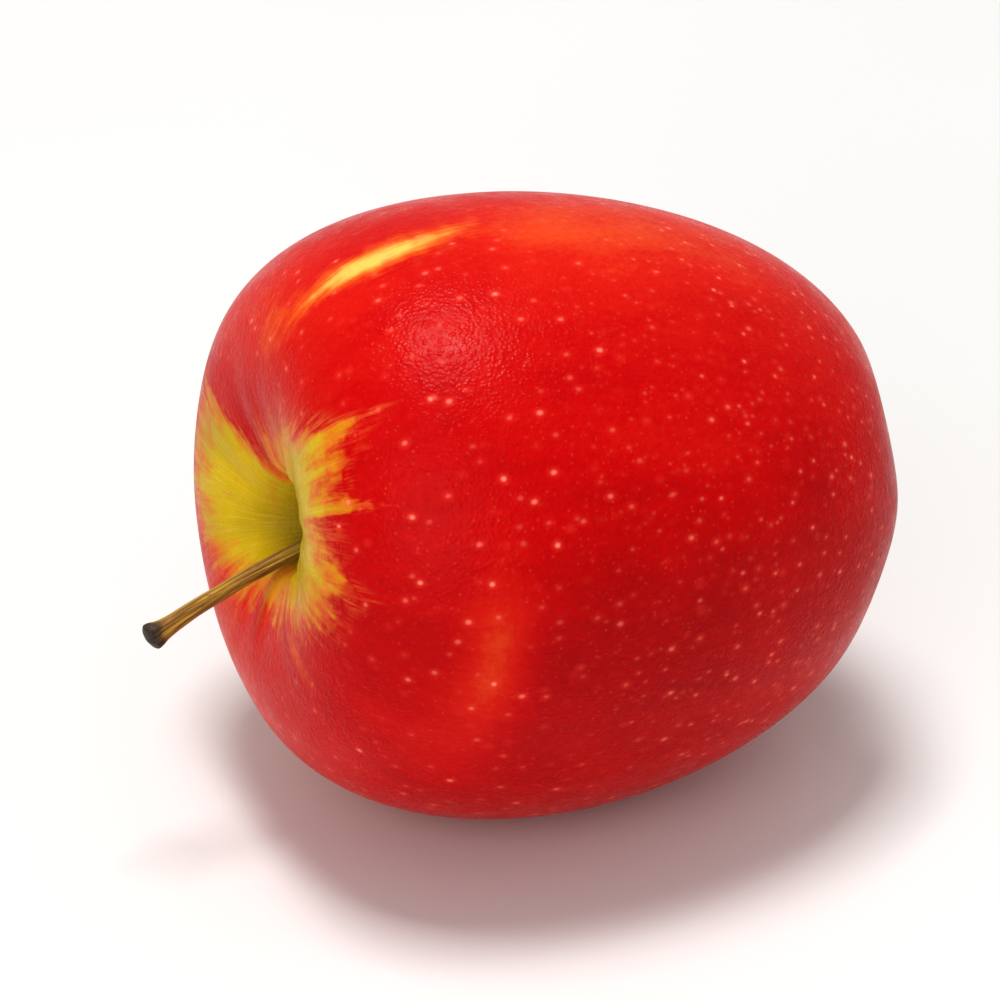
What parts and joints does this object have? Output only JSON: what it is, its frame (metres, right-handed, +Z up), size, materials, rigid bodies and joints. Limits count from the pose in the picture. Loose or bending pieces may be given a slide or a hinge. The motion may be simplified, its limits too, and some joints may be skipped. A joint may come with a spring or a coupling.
{
  "type": "apple",
  "caption": "Whole red apple with yellow ground colour, lying on a small flat spot, with a bent woody stem in a deep cavity and the dried flower in its eye.",
  "frame": {"origin": "centre of the small flat spot that the apple rests on, on the ground", "axes": "+Z up; the core line lies in the XZ plane, the stem end towards -X and raised 9 degrees, the eye towards +X"},
  "size_m": [0.091, 0.072, 0.0721],
  "materials": {
    "skin": "waxy satin, red blush over a yellow ground",
    "stem_bark": "dry, ridged",
    "sepal_leaf": "dry and downy",
    "stamen_thread": "dry",
    "style_tissue": "dry"
  },
  "bodies": {
    "root": {"fruit": "skin", "stem": "stem_bark", "sepal_1": "sepal_leaf", "sepal_2": "sepal_leaf", "sepal_3": "sepal_leaf", "sepal_4": "sepal_leaf", "sepal_5": "sepal_leaf", "stamen_01": "stamen_thread", "stamen_02": "stamen_thread", "stamen_03": "stamen_thread", "stamen_04": "stamen_thread", "stamen_05": "stamen_thread", "stamen_06": "stamen_thread", "stamen_07": "stamen_thread", "stamen_08": "stamen_thread", "stamen_09": "stamen_thread", "stamen_10": "stamen_thread", "style_column": "style_tissue"}
  },
  "joints": []
}
